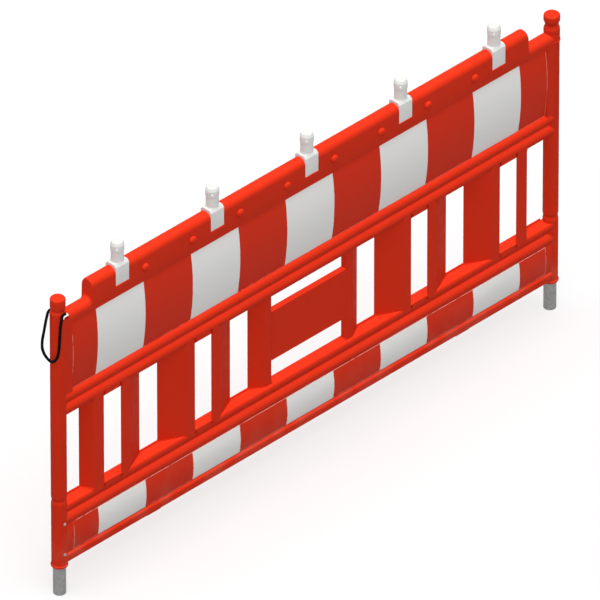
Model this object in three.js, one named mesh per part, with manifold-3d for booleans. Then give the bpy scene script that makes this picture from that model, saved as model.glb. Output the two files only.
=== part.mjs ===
// Moulded plastic barrier board with lamp adapters.
// Millimetres, +Z up, front towards -Y, origin midway between the posts at the lower end of the foot tubes.
import * as THREE from 'three';
import * as BufferGeometryUtils from 'three/addons/utils/BufferGeometryUtils.js';
import Module from 'manifold-3d';

// ---- Driving dimensions ----------------------------------------------------------------------
const GAP = 0.3;                      // clearance where two pieces meet
const POST_SPACING = 2100;            // axis to axis
const HALF_SPAN = POST_SPACING / 2;
const BOARD_DEPTH = 46;               // front to back over the flat faces
const HALF_DEPTH = BOARD_DEPTH / 2;
const WALL = 3.5;                     // wall of the hollow moulding
const SLAT_WALL = 5;

// Posts, sleeves and foot tubes
const POST_RADIUS = 24.5;
const POST_BORE_RADIUS = 20.3;
const POST_TOP = 1040;
const POST_CHAMFER = { z: 1032, radius: 22 };
const RIGHT_POST_TOP = 1022;          // the knob's bell takes over from here
const LIP_Z = 992;                    // lip round the right post, under its thicker top
const LIP_RADIUS = 27;
const WAIST_Z = 346;                  // bottom of the V-shaped waist between post and sleeve
const WAIST_RADIUS = 22.2;
const WAIST_HALF_HEIGHT = 12;
const SLEEVE_BOTTOM = 100;
const SLEEVE_RING_RADIUS = 27;
const TUBE_RADIUS = 20;
const TUBE_WALL = 2.5;
const TUBE_TOP = 330;

// Heights of the moulding, from the top down
const RAIL_BASE = 1024;
const RAIL_CREST = 1090;
const SHOULDER_CREST = 1025;          // crest of the lower stretch between rail and post
const RAIL_END = HALF_SPAN - 123;
const RAIL_WALL = 8.5;                // thicker, because the saddle notches take 5 mm of it
const STILE_WIDTH = 40;               // the full-depth strip between post and striped field
const FIELD_TOP = 983;                // upper striped field
const FIELD_BOTTOM = 733;
const FIELD_EDGE_DEPTH = 13;          // half depth of the board at the upper edge of the field
const FIELD_FOOT_DEPTH = 10;          // and at its lower edge
const RIDGE_RADIUS = 20.5;
const GROOVE_ANGLE = 68;              // each ridge turns this far into the groove
const RIDGE_HIGH_Z = 713.5;
const RIDGE_LOW_Z = 669.5;
const RIDGE_LOW_RADIUS = 22.5;
const SLAT_TOP = 655;
const SLAT_BOTTOM = 326;
const LEDGE_RIDGE_Z = 314.5;
const LOWER_RIDGE_Z = 267;
const LOWER_RIDGE_RADIUS = 22;
const TOE_TOP = 252;                  // lower striped field
const TOE_BOTTOM = 146;
const TOE_EDGE_DEPTH = 17;
const TOE_BULGE = 5.5;
const BOTTOM = 111;
const BOTTOM_ROUND = 11;

// Slats: centre lines of the corrugated wall seen from above, as [x, y], left half, x from the left post
const LAND = HALF_DEPTH - SLAT_WALL / 2;
const BAR_LAND = 8;
const BAR_INNER = 890.5;
const SLAT_LINES = {
  outer_slat: [[105, LAND], [127, -LAND], [169, -LAND]],
  second_slat: [[243, -LAND], [274, -LAND], [357, LAND]],
  third_slat: [[435, LAND], [520, -LAND], [553, -LAND]],
  fourth_slat: [[625, -LAND], [656, -LAND], [741, LAND]],
  centre_bar: [[818, LAND], [864, -BAR_LAND], [BAR_INNER, -BAR_LAND], [BAR_INNER, 11]],
};
// Slots, left half: [start, end, side], side -1 in the front wall, +1 in the back wall
const SLOTS = [[26, 103, 1], [169, 243, -1], [359, 433, 1], [553, 625, -1], [743, 816, 1]];
const LIP_HEIGHT = 4.5;
const LIP_REACH = 9;                  // the slat walls run this far up over the round of the middle rail
const LEDGE_REACH = 6;                // and this far down over the edge of the ledge

// Hand grip plate, flush with the fronts of the centre bars
const GRIP_PLATE = { bottom: 410, top: 591, depth: 22 };

// Lamp adapters
const ADAPTER_PITCH = 400;
const ADAPTER_OFFSETS = [-2, -1, 0, 1, 2];
const ADAPTER = {
  width: 55, notchWidth: 57, notchDepth: 5, legBottom: 1024.6, shoulder: 1089, top: 1097,
  stemRadius: 20, stemTop: 1135, headRadius: 21.2, headShoulder: 1157, headTop: 1167, headTopRadius: 17.5,
};

// Reflective film
const FIELD_END = HALF_SPAN - STILE_WIDTH - 1;
const FILM_THICKNESS = 0.5;
const TOE_FILM_TOP = 250;
const TOE_FILM_BOTTOM = 149;

// Small parts
const PLUG = { radius: 14, height: 10, z: 1034, pitch: 200, shift: -6 };  // shift: off the middle, along X
const SCREW = { radius: 5, height: 1.6, shankRadius: 2.7, shankLength: 9.5, heights: [150.5, 263] };
const LUG = { offset: 660, length: 60, height: 9, halfDepth: 14 };
// Eye for the coupling cord, x from the left post: an oblique bore where the left post meets its end
// block, where the cord leaves at the front, and a round hole in the back wall where it comes back
const EYE = { mouth: [12, -19, 1019], radius: 11.5, direction: [1, 1, -1] };
const CORD_HOLE = { x: 44, z: 1002, radius: 10.5 };
const CORD_RADIUS = 4.5;

// ---- Materials ---------------------------------------------------------------------------------
function plastic(color, roughness) {
  return new THREE.MeshStandardMaterial({ color, roughness, metalness: 0 });
}
const red = () => plastic(0xd8341c, 0.55);
const lightGrey = () => plastic(0xd9d9d4, 0.5);
const film = () => plastic(0xeeeeea, 0.35);
const blackCord = () => plastic(0x141414, 0.8);
const galvanised = () => new THREE.MeshStandardMaterial({ color: 0x9a9c9c, roughness: 0.45, metalness: 0.8 });

// ---- Solid helpers -----------------------------------------------------------------------------
const wasm = await Module();
wasm.setup();

function positionsOnly(geometry) {
  const bare = geometry.clone();
  bare.deleteAttribute('normal');
  bare.deleteAttribute('uv');
  return BufferGeometryUtils.mergeVertices(bare, 1e-4);
}

function toSolid(geometry) {
  const merged = positionsOnly(geometry);
  return new wasm.Manifold(new wasm.Mesh({
    numProp: 3,
    vertProperties: new Float32Array(merged.attributes.position.array),
    triVerts: new Uint32Array(merged.index.array),
  }));
}

function toGeometry(solid) {
  const result = solid.getMesh();
  const geometry = new THREE.BufferGeometry();
  geometry.setAttribute('position', new THREE.BufferAttribute(new Float32Array(result.vertProperties), 3));
  geometry.setIndex(new THREE.BufferAttribute(new Uint32Array(result.triVerts), 1));
  geometry.computeVertexNormals();
  return geometry;
}

function cut(geometry, tools) {
  return toGeometry(tools.reduce((solid, tool) => solid.subtract(toSolid(tool)), toSolid(geometry)));
}

function join(geometries) {
  return toGeometry(geometries.map(toSolid).reduce((solid, other) => solid.add(other)));
}

function shapeOf(points, holes = []) {
  const toVectors = (loop) => loop.map(([a, b]) => new THREE.Vector2(a, b));
  const shape = new THREE.Shape(toVectors(points));
  shape.holes = holes.map((hole) => new THREE.Path(toVectors(hole)));
  return shape;
}

// Outline in Y and Z, extruded along X
function alongX(points, x0, x1, holes) {
  const geometry = new THREE.ExtrudeGeometry(shapeOf(points, holes), { depth: x1 - x0, bevelEnabled: false });
  const turn = new THREE.Matrix4().makeBasis(
    new THREE.Vector3(0, 1, 0), new THREE.Vector3(0, 0, 1), new THREE.Vector3(1, 0, 0));
  return geometry.applyMatrix4(turn).translate(x0, 0, 0);
}

// Outline in X and Y, extruded along Z
function alongZ(points, z0, z1, holes) {
  const geometry = new THREE.ExtrudeGeometry(shapeOf(points, holes), { depth: z1 - z0, bevelEnabled: false });
  return geometry.translate(0, 0, z0);
}

function box(x0, x1, y0, y1, z0, z1) {
  return new THREE.BoxGeometry(x1 - x0, y1 - y0, z1 - z0)
    .translate((x0 + x1) / 2, (y0 + y1) / 2, (z0 + z1) / 2);
}

// Lathe about a vertical axis; the profile is [radius, z] from the axis or in a closed loop
function turned(profile, x, segments) {
  const points = profile.map(([radius, z]) => new THREE.Vector2(radius, z));
  return new THREE.LatheGeometry(points, segments).rotateX(Math.PI / 2).translate(x, 0, 0);
}

function arc(cy, cz, radius, fromDegrees, toDegrees, steps) {
  return Array.from({ length: steps + 1 }, (_, i) => {
    const angle = THREE.MathUtils.degToRad(fromDegrees + (toDegrees - fromDegrees) * i / steps);
    return [cy + radius * Math.cos(angle), cz + radius * Math.sin(angle)];
  });
}

const mirrored = (points) => points.map(([a, b]) => [-a, b]).reverse();

// Moves every corner of a counter-clockwise loop inwards by the same distance
function inset(points, distance) {
  const count = points.length;
  return points.map((point, i) => {
    const before = points[(i + count - 1) % count];
    const after = points[(i + 1) % count];
    const intoCorner = new THREE.Vector2(point[0] - before[0], point[1] - before[1]).normalize();
    const outOfCorner = new THREE.Vector2(after[0] - point[0], after[1] - point[1]).normalize();
    const normal = new THREE.Vector2(-intoCorner.y - outOfCorner.y, intoCorner.x + outOfCorner.x).normalize();
    const reach = distance / Math.max(0.5, normal.x * -intoCorner.y + normal.y * intoCorner.x);
    return [point[0] + normal.x * reach, point[1] + normal.y * reach];
  });
}

const group = new THREE.Group();
function place(name, geometry, material) {
  const mesh = new THREE.Mesh(geometry, material);
  mesh.name = name;
  group.add(mesh);
}

const SIDES = [['left', -1], ['right', 1]];
const postX = (side) => side * HALF_SPAN;
const postCutters = (z0, z1) => SIDES.map(([, side]) => turned(
  [[0, z0], [POST_RADIUS + GAP, z0], [POST_RADIUS + GAP, z1], [0, z1]], postX(side), 32));
const lipCutter = () => turned([[0, LIP_Z - 1], [LIP_RADIUS + GAP, LIP_Z - 1],
  [LIP_RADIUS + GAP, SHOULDER_CREST + 10], [0, SHOULDER_CREST + 10]], postX(1), 32);

// ---- Half outlines of the front, from low to high, as [y, z] ----------------------------------------
// Half depth of the upper board: widest at mid height of the field
function fieldDepth(z) {
  const t = (z - FIELD_BOTTOM) / (FIELD_TOP - FIELD_BOTTOM);
  const chord = FIELD_FOOT_DEPTH + (FIELD_EDGE_DEPTH - FIELD_FOOT_DEPTH) * t;
  const bulge = HALF_DEPTH - 1 - (FIELD_FOOT_DEPTH + FIELD_EDGE_DEPTH) / 2;
  return chord + bulge * 4 * t * (1 - t);
}

function toeDepth(z) {
  const t = (z - TOE_BOTTOM) / (TOE_TOP - TOE_BOTTOM);
  return TOE_EDGE_DEPTH + TOE_BULGE * 4 * t * (1 - t);
}

function curveUp(depth, z0, z1, steps) {
  return Array.from({ length: steps + 1 }, (_, i) => {
    const z = z0 + (z1 - z0) * i / steps;
    return [depth(z), z];
  });
}

// A closed outline that is the same at the front and the back
const bothFaces = (half) => [...half, ...mirrored(half)];

const FIELD_STEPS = 12;
const TOE_STEPS = 6;
const LIP_TO_FIELD = FIELD_TOP + 2;

const boardHalf = (top) => [...curveUp(fieldDepth, FIELD_BOTTOM, FIELD_TOP, FIELD_STEPS),
  [HALF_DEPTH, LIP_TO_FIELD], ...top];
const boardOutline = bothFaces(boardHalf([[HALF_DEPTH, RAIL_BASE - GAP / 2]]));
const shoulderOutline = [...boardHalf(arc(0, SHOULDER_CREST - HALF_DEPTH, HALF_DEPTH, 0, 180, 12)),
  ...mirrored(boardHalf([]))];

const railOutline = [[HALF_DEPTH, RAIL_BASE + GAP / 2],
  ...arc(0, RAIL_CREST - HALF_DEPTH, HALF_DEPTH, 0, 180, 16), [-HALF_DEPTH, RAIL_BASE + GAP / 2]];

// One half-round ridge, between two angles chosen so that it ends at its neighbour's height or depth
const ridge = (z, radius, from, to) => arc(HALF_DEPTH - radius, z, radius, from, to, 9);
const middleHalf = [
  ...ridge(RIDGE_LOW_Z, RIDGE_LOW_RADIUS, -57, GROOVE_ANGLE - 4),
  ...ridge(RIDGE_HIGH_Z, RIDGE_RADIUS, -GROOVE_ANGLE, 68)];
const lowerHalf = [
  ...ridge(LOWER_RIDGE_Z, LOWER_RIDGE_RADIUS, -42, GROOVE_ANGLE),
  ...ridge(LEDGE_RIDGE_Z, RIDGE_RADIUS, -GROOVE_ANGLE, 34)];
const ridgeHollow = (z0, z1) => {
  const narrow = HALF_DEPTH - 2.6 * WALL;
  const wide = HALF_DEPTH - 1.2 * WALL;
  return [[narrow, z0], [wide, z0 + WALL], [wide, z1 - WALL], [narrow, z1],
    [-narrow, z1], [-wide, z1 - WALL], [-wide, z0 + WALL], [-narrow, z0]];
};
const toeHalf = curveUp(toeDepth, TOE_BOTTOM + GAP / 2, TOE_TOP - GAP / 2, TOE_STEPS);
const bottomHalf = [
  ...arc(HALF_DEPTH - BOTTOM_ROUND, BOTTOM + BOTTOM_ROUND, BOTTOM_ROUND, -90, 0, 5),
  ...arc(HALF_DEPTH - BOTTOM_ROUND, TOE_BOTTOM - BOTTOM_ROUND - GAP / 2, BOTTOM_ROUND, 0, 90, 5)];

// ---- The moulding ---------------------------------------------------------------------------------
function hollowAlongX(outline, x0, x1, wall = WALL) {
  return alongX(outline, x0, x1, [inset(outline, wall)]);
}

// A stretch that runs from post to post and hugs both
function betweenPosts(half, hollows) {
  const heights = half.map(([, z]) => z);
  const cutters = postCutters(Math.min(...heights) - 10, Math.max(...heights) + 10);
  return cut(alongX(bothFaces(half), -HALF_SPAN, HALF_SPAN, hollows), cutters);
}

function topRail() {
  const core = inset(railOutline, ADAPTER.notchDepth);
  core[0] = [HALF_DEPTH - ADAPTER.notchDepth, RAIL_BASE - 1];
  core[core.length - 1] = [-core[0][0], core[0][1]];
  const around = [[-HALF_DEPTH - 5, RAIL_BASE - 2], [HALF_DEPTH + 5, RAIL_BASE - 2],
    [HALF_DEPTH + 5, RAIL_CREST + 5], [-HALF_DEPTH - 5, RAIL_CREST + 5]];
  const notches = ADAPTER_OFFSETS.flatMap((offset) => {
    const x0 = offset * ADAPTER_PITCH - ADAPTER.notchWidth / 2;
    return [alongX(around, x0, x0 + ADAPTER.notchWidth, [core])];
  });
  return cut(hollowAlongX(railOutline, -RAIL_END, RAIL_END, RAIL_WALL), notches);
}

function cordEye() {
  const along = new THREE.Vector3(...EYE.direction).normalize();
  const [x, y, z] = EYE.mouth;
  return new THREE.CylinderGeometry(EYE.radius, EYE.radius, 4 * BOARD_DEPTH, 20)
    .applyQuaternion(new THREE.Quaternion().setFromUnitVectors(new THREE.Vector3(0, 1, 0), along))
    .translate(x - HALF_SPAN, y, z);
}

function cordHole() {
  return new THREE.CylinderGeometry(CORD_HOLE.radius, CORD_HOLE.radius, HALF_DEPTH, 20)
    .translate(CORD_HOLE.x - HALF_SPAN, HALF_DEPTH, CORD_HOLE.z);
}

function endBlock(side) {
  const inner = side * (RAIL_END + GAP);
  const outer = side * HALF_SPAN;
  const x0 = Math.min(inner, outer);
  const x1 = Math.max(inner, outer);
  const stileX = side * (HALF_SPAN - STILE_WIDTH);
  const stile = [[HALF_DEPTH, FIELD_BOTTOM], ...arc(0, SHOULDER_CREST - HALF_DEPTH, HALF_DEPTH, 0, 180, 12),
    [-HALF_DEPTH, FIELD_BOTTOM]];
  const block = join([hollowAlongX(shoulderOutline, x0, x1),
    hollowAlongX(stile, Math.min(stileX, outer), Math.max(stileX, outer))]);
  const cutters = postCutters(FIELD_BOTTOM - 10, SHOULDER_CREST + 10);
  return cut(block, [...cutters, ...(side < 0 ? [cordEye(), cordHole()] : [lipCutter()])]);
}

place('top_rail', topRail(), red());
place('upper_board', hollowAlongX(boardOutline, -RAIL_END, RAIL_END), red());
for (const [label, side] of SIDES) place(`${label}_end_block`, endBlock(side), red());

// The slots are cut a little short of the rails, which leaves a lip above and below each
function slotLips(z0, z1) {
  return SLOTS.flatMap(([start, end, face]) => SIDES.map(([, side]) => {
    const near = side * (HALF_SPAN - start - GAP);
    const far = side * (HALF_SPAN - end + GAP);
    const depths = face < 0 ? [-HALF_DEPTH, -HALF_DEPTH + SLAT_WALL] : [HALF_DEPTH - SLAT_WALL, HALF_DEPTH];
    return box(Math.min(near, far), Math.max(near, far), ...depths, z0, z1);
  }));
}

const middleBody = betweenPosts(middleHalf, [ridgeHollow(658, 683), ridgeHollow(698, 727)]);
place('middle_rail', join([middleBody, ...slotLips(SLAT_TOP - LIP_HEIGHT, SLAT_TOP + LIP_REACH)]), red());
const lowerBody = betweenPosts(lowerHalf, [ridgeHollow(256, 282), ridgeHollow(299, 321)]);
place('lower_rail', join([lowerBody, ...slotLips(SLAT_BOTTOM - LEDGE_REACH, SLAT_BOTTOM + LIP_HEIGHT)]), red());
place('toe_board', betweenPosts(toeHalf, [inset(bothFaces(toeHalf), WALL)]), red());

// Two lugs under the bottom rail locate it on the next board in a stack
function stackingLug(side) {
  const outline = [[-LUG.halfDepth + 4, BOTTOM - LUG.height], [LUG.halfDepth - 4, BOTTOM - LUG.height],
    [LUG.halfDepth, BOTTOM + 1], [-LUG.halfDepth, BOTTOM + 1]];
  const x = side * LUG.offset;
  return alongX(outline, x - LUG.length / 2, x + LUG.length / 2);
}
const bottomBody = betweenPosts(bottomHalf, [inset(bothFaces(bottomHalf), WALL)]);
place('bottom_rail', join([bottomBody, stackingLug(-1), stackingLug(1)]), red());

// ---- Slats, centre bars and grip plate -----------------------------------------------------------
// Thickens a centre line seen from above into a wall
function wallOutline(line, thickness) {
  const offset = (side) => line.map((point, i) => {
    const before = line[Math.max(0, i - 1)];
    const after = line[Math.min(line.length - 1, i + 1)];
    const toPoint = new THREE.Vector2(point[0] - before[0], point[1] - before[1]).normalize();
    const fromPoint = new THREE.Vector2(after[0] - point[0], after[1] - point[1]).normalize();
    const along = toPoint.clone().add(fromPoint).normalize();
    const normal = new THREE.Vector2(-along.y, along.x);
    const edge = fromPoint.lengthSq() > 0 ? fromPoint : toPoint;
    const reach = side * thickness / 2 / (normal.x * -edge.y + normal.y * edge.x);
    return [point[0] + normal.x * reach, point[1] + normal.y * reach];
  });
  return [...offset(-1), ...offset(1).reverse()];
}

// The walls fit round the rails above and below them
const railCutters = [middleHalf, lowerHalf].map(
  (half) => alongX(inset(bothFaces(half), -GAP), -HALF_SPAN, HALF_SPAN));
for (const [name, line] of Object.entries(SLAT_LINES)) {
  const outline = wallOutline(line.map(([x, y]) => [x - HALF_SPAN, y]), SLAT_WALL);
  const outlines = { left: outline, right: mirrored(outline) };
  for (const [label] of SIDES) {
    const wall = alongZ(outlines[label], SLAT_BOTTOM - LEDGE_REACH, SLAT_TOP + LIP_REACH);
    place(`${label}_${name}`, cut(wall, railCutters), red());
  }
}

function gripPlate() {
  const front = -BAR_LAND - SLAT_WALL / 2;
  const back = front + GRIP_PLATE.depth;
  const end = HALF_SPAN - BAR_INNER - SLAT_WALL / 2 - GAP;
  const body = box(-end, end, front, back, GRIP_PLATE.bottom, GRIP_PLATE.top);
  const hollow = box(WALL - end, end - WALL, front + WALL, back - WALL,
    GRIP_PLATE.bottom - 1, GRIP_PLATE.top - WALL);
  return cut(body, [hollow]);
}
place('grip_plate', gripPlate(), red());

// ---- Posts, sleeves, tubes, cap and knob ------------------------------------------------------------
const POST_SEGMENTS = 32;
const postProfile = (top) => [
  [POST_BORE_RADIUS, WAIST_Z + GAP / 2], [WAIST_RADIUS, WAIST_Z + GAP / 2],
  [POST_RADIUS, WAIST_Z + WAIST_HALF_HEIGHT], ...top, [POST_BORE_RADIUS, WAIST_Z + GAP / 2]];
const postShapes = {
  left: postProfile([[POST_RADIUS, POST_CHAMFER.z], [POST_CHAMFER.radius, POST_TOP - GAP],
    [POST_BORE_RADIUS, POST_TOP - GAP]]),
  right: postProfile([[POST_RADIUS, LIP_Z - 0.5], [LIP_RADIUS, LIP_Z + 0.5], [LIP_RADIUS, LIP_Z + 2.5],
    [POST_RADIUS + 1, LIP_Z + 5], [POST_RADIUS + 0.5, RIGHT_POST_TOP - GAP],
    [POST_BORE_RADIUS, RIGHT_POST_TOP - GAP]]),
};
const sleeveProfile = [
  [POST_BORE_RADIUS, SLEEVE_BOTTOM], [SLEEVE_RING_RADIUS - 4, SLEEVE_BOTTOM],
  [SLEEVE_RING_RADIUS - 1, SLEEVE_BOTTOM + 1.5], [SLEEVE_RING_RADIUS, SLEEVE_BOTTOM + 4],
  [SLEEVE_RING_RADIUS, SLEEVE_BOTTOM + 7], [POST_RADIUS, SLEEVE_BOTTOM + 10],
  [POST_RADIUS, WAIST_Z - WAIST_HALF_HEIGHT], [WAIST_RADIUS, WAIST_Z - GAP / 2],
  [POST_BORE_RADIUS, WAIST_Z - GAP / 2], [POST_BORE_RADIUS, SLEEVE_BOTTOM]];
const tubeProfile = [
  [TUBE_RADIUS - TUBE_WALL, 0], [TUBE_RADIUS - 1, 0], [TUBE_RADIUS, 1], [TUBE_RADIUS, TUBE_TOP],
  [TUBE_RADIUS - TUBE_WALL, TUBE_TOP], [TUBE_RADIUS - TUBE_WALL, 0]];

// The two screws of each sleeve pass through its wall and the tube's
function screwHoles(side) {
  const radius = SCREW.shankRadius + GAP;
  return SCREW.heights.map((z) => new THREE.CylinderGeometry(radius, radius, 2 * TUBE_WALL + POST_RADIUS, 16)
    .translate(postX(side), side * (POST_RADIUS - TUBE_WALL), z));
}

for (const [label, side] of SIDES) {
  const x = postX(side);
  place(`${label}_post`, cut(turned(postShapes[label], x, POST_SEGMENTS), side < 0 ? [cordEye()] : []), red());
  place(`${label}_foot_sleeve`, cut(turned(sleeveProfile, x, POST_SEGMENTS), screwHoles(side)), red());
  place(`${label}_foot_tube`, cut(turned(tubeProfile, x, POST_SEGMENTS), screwHoles(side)), galvanised());
}

// Each closes its post with a plug that sits in the bore
const PLUG_LENGTH = 8;
const PLUG_RADIUS = POST_BORE_RADIUS - 0.6;
const plugStem = (z) => [[0, z - PLUG_LENGTH], [PLUG_RADIUS, z - PLUG_LENGTH], [PLUG_RADIUS, z]];
const capProfile = [...plugStem(POST_TOP), [21.8, POST_TOP], [21.8, 1048.5], [23.8, 1051], [23.8, 1073],
  [22, 1079], [18, 1083.5], [13, 1085], [0, 1085]];
const knobProfile = [...plugStem(RIGHT_POST_TOP), [25.3, RIGHT_POST_TOP], [25.3, 1034], [23.4, 1044],
  [21, 1050], [21, 1054], [23.2, 1061], [25.6, 1068], [25.6, 1081], [23, 1085.5], [19, 1088], [0, 1088]];
place('left_cap', turned(capProfile, postX(-1), POST_SEGMENTS), red());
place('right_knob', turned(knobProfile, postX(1), POST_SEGMENTS), red());

// ---- Lamp adapters -------------------------------------------------------------------------------------
function lampAdapter(x) {
  const outer = HALF_DEPTH - 0.5;
  const inner = HALF_DEPTH - ADAPTER.notchDepth + GAP;
  const crown = arc(0, RAIL_CREST - HALF_DEPTH, inner, 0, 180, 16);
  const saddle = [[inner, ADAPTER.legBottom], [outer, ADAPTER.legBottom], [outer, ADAPTER.shoulder],
    [outer - 8, ADAPTER.top], [8 - outer, ADAPTER.top], [-outer, ADAPTER.shoulder],
    [-outer, ADAPTER.legBottom], [-inner, ADAPTER.legBottom], ...crown.reverse()];
  const stud = [[0, ADAPTER.top - 3], [ADAPTER.stemRadius, ADAPTER.top - 3],
    [ADAPTER.stemRadius, ADAPTER.stemTop],
    [ADAPTER.headRadius, ADAPTER.stemTop + 2], [ADAPTER.headRadius, ADAPTER.headShoulder],
    [ADAPTER.headTopRadius, ADAPTER.headTop], [0, ADAPTER.headTop]];
  return join([alongX(saddle, x - ADAPTER.width / 2, x + ADAPTER.width / 2), turned(stud, x, 24)]);
}
for (const [i, offset] of ADAPTER_OFFSETS.entries()) {
  place(`lamp_adapter_${i + 1}`, lampAdapter(offset * ADAPTER_PITCH), lightGrey());
}

// ---- Dome plugs and tube screws ------------------------------------------------------------------------
// A profile of [radius, height] turned about an axis that leaves the front or back face
function onFace(profile, x, z, face, side, segments = 16) {
  const points = profile.map(([radius, height]) => new THREE.Vector2(radius, height));
  const turnedUp = new THREE.LatheGeometry(points, segments);
  return (side > 0 ? turnedUp : turnedUp.rotateX(Math.PI)).translate(x, side * face, z);
}

const plugProfile = [[0, 0], [PLUG.radius, 0], [PLUG.radius, PLUG.height * 0.4],
  [PLUG.radius * 0.7, PLUG.height * 0.85], [0, PLUG.height]];
[-3.5, -2.5, -1.5, -0.5, 0.5, 1.5, 2.5, 3.5].forEach((step, i) => {
  const dome = onFace(plugProfile, step * PLUG.pitch + PLUG.shift, PLUG.z, HALF_DEPTH + GAP, -1);
  place(`dome_plug_${i + 1}`, dome, red());
});

const screwProfile = [[0, -SCREW.shankLength], [SCREW.shankRadius, -SCREW.shankLength], [SCREW.shankRadius, 0],
  [SCREW.radius, 0], [SCREW.radius, SCREW.height * 0.5], [SCREW.radius * 0.7, SCREW.height],
  [0, SCREW.height]];
for (const [label, side] of SIDES) {
  for (const [z, height] of [[SCREW.heights[0], 'lower'], [SCREW.heights[1], 'upper']]) {
    const screw = onFace(screwProfile, postX(side), z, POST_RADIUS + GAP, side);
    place(`${label}_tube_screw_${height}`, screw, galvanised());
  }
}

// ---- Reflective film ------------------------------------------------------------------------------------
// A thin skin that follows the board's face between two heights
function filmStrip(depth, z0, z1, steps, side) {
  const underside = curveUp((z) => depth(z) + GAP, z0, z1, steps);
  const face = curveUp((z) => depth(z) + GAP + FILM_THICKNESS, z0, z1, steps);
  const outline = [...face, ...underside.reverse()];
  return alongX(side > 0 ? outline : mirrored(outline), -FIELD_END, FIELD_END);
}

const STRIPS = {
  upper: [fieldDepth, FIELD_BOTTOM + 2, FIELD_TOP - 1, FIELD_STEPS],
  lower: [toeDepth, TOE_FILM_BOTTOM, TOE_FILM_TOP, TOE_STEPS],
};
for (const [strip, [depth, z0, z1, steps]] of Object.entries(STRIPS)) {
  for (const [face, side] of [['front', -1], ['back', 1]]) {
    place(`${strip}_film_${face}`, filmStrip(depth, z0, z1, steps, side), film());
  }
}

// ---- Coupling cord -----------------------------------------------------------------------------------------
// Its route as [x from the left post, y, z]: out of the eye, down the front of the post, round its left side,
// up behind it and back into the end block
const CORD_ROUTE = [
  [30.6, -0.4, 1008.2], [26.6, -4.4, 1012.2], [20.6, -10.4, 1018.2], [14.6, -16.4, 1024.2],
  [8.6, -22.4, 1030.2], [3.6, -27.6, 1035], [-1, -30.2, 1038], [-5.7, -30.3, 1038], [-9, -28.9, 1033.5],
  [-10.4, -28.3, 1026], [-12.6, -27.2, 1009], [-15, -26, 988.2], [-16.1, -25.2, 963.8], [-17, -24.6, 941],
  [-18.4, -23.6, 916.5], [-20.9, -21.6, 893.1], [-25.1, -17.9, 879.4], [-29.3, -10.8, 868.7],
  [-32.5, -1.5, 867.5], [-34.9, 8.1, 872.7], [-37.8, 17.3, 883.7], [-40.6, 22.9, 898.9],
  [-41.6, 24.7, 912.3], [-41.2, 24.9, 928.9], [-39.2, 24.3, 945.7], [-36, 23.2, 962.8],
  [-32, 22.6, 982], [-28, 21.6, 1003], [-23.2, 22, 1017], [-16, 25.6, 1024], [-6, 29.4, 1025.5],
  [4, 29.9, 1023.5], [14, 29.7, 1019], [24, 29.2, 1013.5], [33, 29.5, 1008.5], [39.5, 27.3, 1005],
  [43, 21, 1002.6], [44.5, 10.5, 1001.6]];
const CORD_SIDES = 10;

function cord() {
  const points = CORD_ROUTE.map(([x, y, z]) => new THREE.Vector3(x - HALF_SPAN, y, z));
  const route = new THREE.CatmullRomCurve3(points);
  const section = shapeOf(Array.from({ length: CORD_SIDES }, (_, i) => {
    const angle = 2 * Math.PI * i / CORD_SIDES;
    return [CORD_RADIUS * Math.cos(angle), CORD_RADIUS * Math.sin(angle)];
  }));
  return new THREE.ExtrudeGeometry(section, { extrudePath: route, steps: CORD_ROUTE.length });
}
place('coupling_cord', cord(), blackCord());

export default group;
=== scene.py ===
import math

import bmesh
import bpy
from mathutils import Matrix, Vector


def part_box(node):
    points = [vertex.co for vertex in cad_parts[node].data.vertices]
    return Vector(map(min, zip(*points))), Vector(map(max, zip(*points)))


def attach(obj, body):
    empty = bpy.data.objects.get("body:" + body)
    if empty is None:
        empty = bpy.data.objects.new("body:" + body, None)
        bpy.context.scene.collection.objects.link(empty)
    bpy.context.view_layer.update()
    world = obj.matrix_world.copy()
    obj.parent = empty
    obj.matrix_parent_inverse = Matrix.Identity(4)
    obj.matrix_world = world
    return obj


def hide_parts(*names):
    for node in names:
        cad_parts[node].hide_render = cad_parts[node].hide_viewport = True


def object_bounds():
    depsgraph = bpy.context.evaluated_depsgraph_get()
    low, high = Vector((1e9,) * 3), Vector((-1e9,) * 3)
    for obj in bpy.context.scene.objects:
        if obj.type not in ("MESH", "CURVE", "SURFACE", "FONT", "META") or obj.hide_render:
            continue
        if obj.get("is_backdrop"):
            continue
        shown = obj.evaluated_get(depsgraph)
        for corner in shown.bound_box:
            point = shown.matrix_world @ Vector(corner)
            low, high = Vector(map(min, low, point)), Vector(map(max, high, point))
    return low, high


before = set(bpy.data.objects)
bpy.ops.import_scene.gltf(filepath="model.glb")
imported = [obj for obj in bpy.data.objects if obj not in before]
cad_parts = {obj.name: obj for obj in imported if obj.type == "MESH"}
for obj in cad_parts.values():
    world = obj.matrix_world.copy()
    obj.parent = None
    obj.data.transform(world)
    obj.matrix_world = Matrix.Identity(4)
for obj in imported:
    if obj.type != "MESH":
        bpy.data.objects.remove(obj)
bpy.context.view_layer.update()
MM = 0.001                      # shapes below are written in millimetres


def add(made):
    """Puts a new object into the scene."""
    bpy.context.scene.collection.objects.link(made)
    return made


# ---- Places taken from the frame, in millimetres -------------------------------------------------


def box_mm(node):
    low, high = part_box(node)
    return low / MM, high / MM


def middle_x(node):
    low, high = box_mm(node)
    return (low.x + high.x) / 2


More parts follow.
